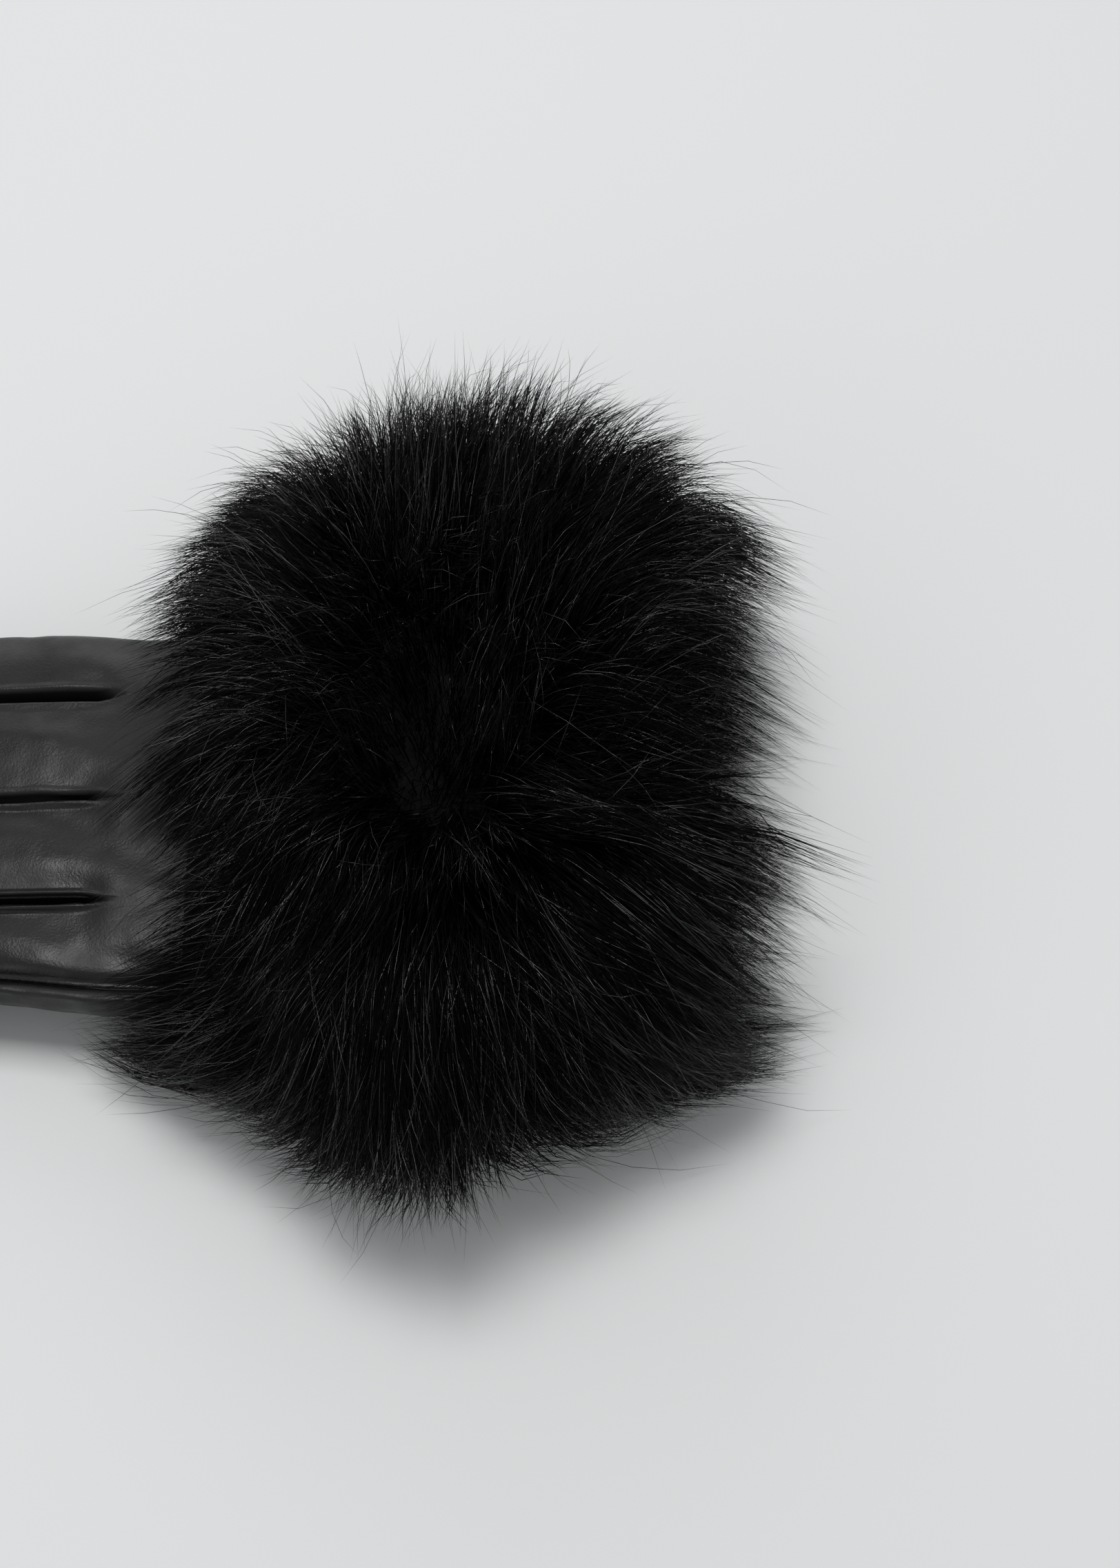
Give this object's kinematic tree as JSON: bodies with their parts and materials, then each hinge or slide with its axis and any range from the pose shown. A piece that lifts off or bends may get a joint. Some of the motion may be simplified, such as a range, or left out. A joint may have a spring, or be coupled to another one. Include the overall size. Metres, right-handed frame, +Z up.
{
  "type": "fur-cuffed leather dress glove",
  "caption": "Left-hand dress glove of smooth black leather with raised lines on the back, side strips between the fingers and a deep shaggy fur cuff round an open wrist, lying back up.",
  "frame": {"origin": "middle of the underside, on the surface that the glove lies on", "axes": "+X from the fingertips to the mouth of the cuff, +Y to the index finger's side, +Z up through the back of the hand"},
  "size_m": [0.2716, 0.1836, 0.0813],
  "materials": {
    "hand_leather": "smooth black leather, semi matte",
    "palm_leather": "smooth black leather, semi matte",
    "strip_leather": "smooth black leather, semi matte",
    "thumb_leather": "smooth black leather, semi matte",
    "cuff_fur": "long black fur pile"
  },
  "bodies": {
    "root": {"hand_back": "hand_leather", "hand_palm": "palm_leather", "fourchette_little_ring": "strip_leather", "fourchette_ring_middle": "strip_leather", "fourchette_middle_index": "strip_leather", "thumb": "thumb_leather", "fur_cuff": "cuff_fur"}
  },
  "joints": []
}
